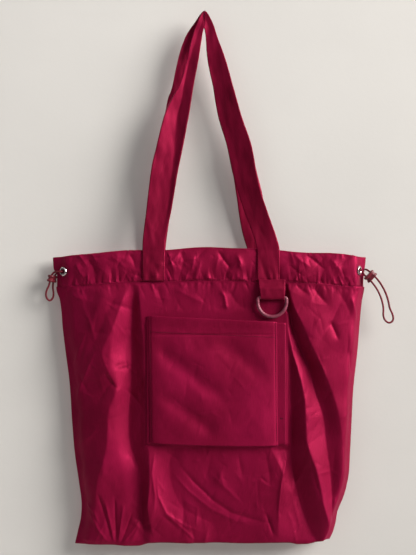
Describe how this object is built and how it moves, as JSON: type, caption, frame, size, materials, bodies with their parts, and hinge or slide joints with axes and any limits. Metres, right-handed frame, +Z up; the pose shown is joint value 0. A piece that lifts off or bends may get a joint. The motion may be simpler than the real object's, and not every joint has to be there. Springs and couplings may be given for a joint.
{
  "type": "foldable tote bag",
  "caption": "Flat foldable cloth tote with a drawcord top, two long shoulder straps, a front pocket and a D-ring on a tab.",
  "frame": {"origin": "the top of the shoulder straps, where they lie over a peg", "axes": "+X across the bag to the right seen from the pocket side, +Y from the front to the back, +Z up"},
  "size_m": [0.449, 0.04, 0.6838],
  "materials": {
    "bag_fabric": "satin",
    "strap_fabric": "satin",
    "eyelet_metal": "polished",
    "elastic_cord": "matte",
    "stopper_plastic": "gloss",
    "ring_paint": "satin"
  },
  "bodies": {
    "bag": {"front_panel": "bag_fabric", "back_panel": "bag_fabric", "bottom_panel": "bag_fabric", "front_top_band": "bag_fabric", "back_top_band": "bag_fabric", "pocket_backing": "bag_fabric", "pocket_front": "bag_fabric", "front_strap_feet": "strap_fabric", "back_strap_feet": "strap_fabric", "d_ring_tab": "strap_fabric", "front_left_eyelet": "eyelet_metal", "front_right_eyelet": "eyelet_metal", "back_left_eyelet": "eyelet_metal", "back_right_eyelet": "eyelet_metal", "front_left_washer": "eyelet_metal", "front_right_washer": "eyelet_metal", "back_left_washer": "eyelet_metal", "back_right_washer": "eyelet_metal", "front_channel_cord": "elastic_cord", "back_channel_cord": "elastic_cord", "left_cord_loop": "elastic_cord", "right_cord_loop": "elastic_cord"},
    "front_strap_loop": {"front_strap": "strap_fabric"},
    "back_strap_loop": {"back_strap": "strap_fabric"},
    "key_ring": {"d_ring": "ring_paint"},
    "left_stopper": {"left_cord_stopper": "stopper_plastic"},
    "right_stopper": {"right_cord_stopper": "stopper_plastic"}
  },
  "joints": [
    {"name": "front_strap_swing", "type": "hinge", "parent": "bag", "child": "front_strap_loop", "pos_m": [0.0085, -0.0126, -0.305], "axis": [1, 0, 0], "range_deg": [0, 140]},
    {"name": "back_strap_swing", "type": "hinge", "parent": "bag", "child": "back_strap_loop", "pos_m": [0.0085, 0.0176, -0.305], "axis": [-1, 0, 0], "range_deg": [0, 140]},
    {"name": "d_ring_swing", "type": "hinge", "parent": "bag", "child": "key_ring", "pos_m": [0.0863, -0.01565, -0.3675], "axis": [-1, 0, 0], "range_deg": [0, 150]},
    {"name": "left_stopper_slide", "type": "slide", "parent": "bag", "child": "left_stopper", "axis": [-0.2, 0, -0.9798], "range_m": [0, 0.004]},
    {"name": "right_stopper_travel", "type": "hinge", "parent": "bag", "child": "right_stopper", "pos_m": [0.16849, 0.002, -0.38877], "axis": [0, 1, 0], "range_deg": [0, 33]}
  ]
}
